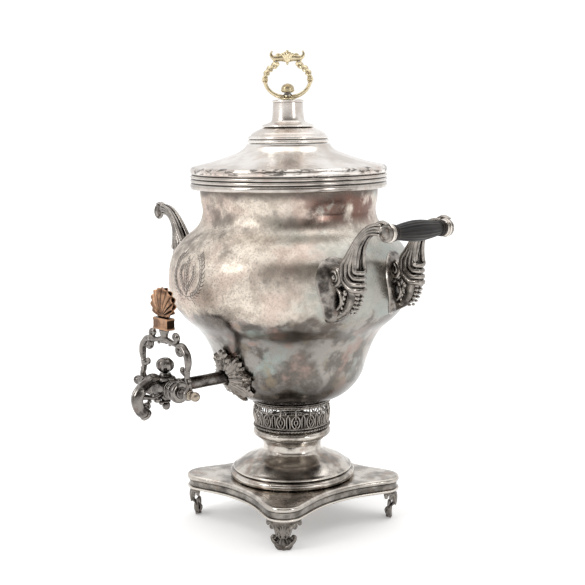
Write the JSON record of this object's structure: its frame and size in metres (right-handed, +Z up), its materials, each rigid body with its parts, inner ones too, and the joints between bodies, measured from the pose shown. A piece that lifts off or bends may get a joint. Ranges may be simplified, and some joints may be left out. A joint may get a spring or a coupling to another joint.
{
  "type": "charcoal-heated hot-water urn",
  "caption": "Footed silver-plated hot-water urn with a charcoal tube, pierced air gallery, lever tap, side handles (one grip lost) and lift-off lid and chimney cap.",
  "frame": {"origin": "centre of the bounding box's underside, on the table; the urn's own axis stands 32.7 mm towards +Y and 0.74 mm towards -X from it", "axes": "+Z up along the urn's axis; the tap points to -Y; the handle with its grip is at +X and the bare arms of the other one are at -X"},
  "size_m": [0.3518, 0.2962, 0.45],
  "materials": {
    "silver_plate": "worn and tarnished silver plate",
    "cast_silver": "oxidised cast silver plate with bright edges",
    "dark_metal": "dark oxidised bronze",
    "copper": "worn through to the copper",
    "gilt": "pale gilt",
    "ebonised_wood": "ebonised, satin",
    "iron": "sooty cast iron",
    "steel": "plain steel"
  },
  "bodies": {
    "urn": {"backplate_left_front": "cast_silver", "backplate_left_rear": "cast_silver", "backplate_right_front": "cast_silver", "backplate_right_rear": "cast_silver", "bracket_left_front": "cast_silver", "bracket_left_rear": "cast_silver", "bracket_right_front": "cast_silver", "bracket_right_rear": "cast_silver", "ferrule_right_front": "cast_silver", "ferrule_right_rear": "cast_silver", "fire_tube": "dark_metal", "foot_front_left": "cast_silver", "foot_front_right": "cast_silver", "foot_rear_left": "cast_silver", "foot_rear_right": "cast_silver", "gallery": "cast_silver", "gallery_lower_ring": "cast_silver", "gallery_upper_ring": "cast_silver", "grate": "iron", "grate_seat": "dark_metal", "grip_right": "ebonised_wood", "grip_rod_right": "steel", "pedestal": "silver_plate", "pedestal_collar": "silver_plate", "plinth": "silver_plate", "rim_collar": "silver_plate", "tap_body": "dark_metal", "tap_knob": "dark_metal", "tap_nut": "steel", "tap_rosette": "cast_silver", "tap_shank": "dark_metal", "tap_strainer": "steel", "vessel_base": "silver_plate", "vessel_bowl": "silver_plate", "vessel_cup": "silver_plate", "vessel_neck": "silver_plate"},
    "lid": {"lid": "silver_plate", "lid_flange": "silver_plate", "lid_sleeve": "silver_plate"},
    "cap": {"cap": "silver_plate", "cap_sleeve": "silver_plate", "cap_neck": "silver_plate", "ring_handle": "gilt", "finial_collar": "dark_metal", "finial_knob": "gilt", "finial_stud": "steel", "finial_nut": "steel"},
    "tap_key": {"tap_plug": "dark_metal", "plug_knob_right": "dark_metal", "plug_knob_left": "dark_metal", "lyre_handle": "dark_metal", "key_block": "copper", "key_shell": "copper"}
  },
  "joints": [
    {"name": "lid_lift", "type": "slide", "parent": "urn", "child": "lid", "axis": [0, 0, 1], "range_m": [0, 0.12]},
    {"name": "cap_lift", "type": "slide", "parent": "lid", "child": "cap", "axis": [0, 0, 1], "range_m": [0, 0.1]},
    {"name": "key_turn", "type": "hinge", "parent": "urn", "child": "tap_key", "pos_m": [-0.00074, -0.1123, 0.151], "axis": [1, 0, 0], "range_deg": [0, 90]}
  ]
}
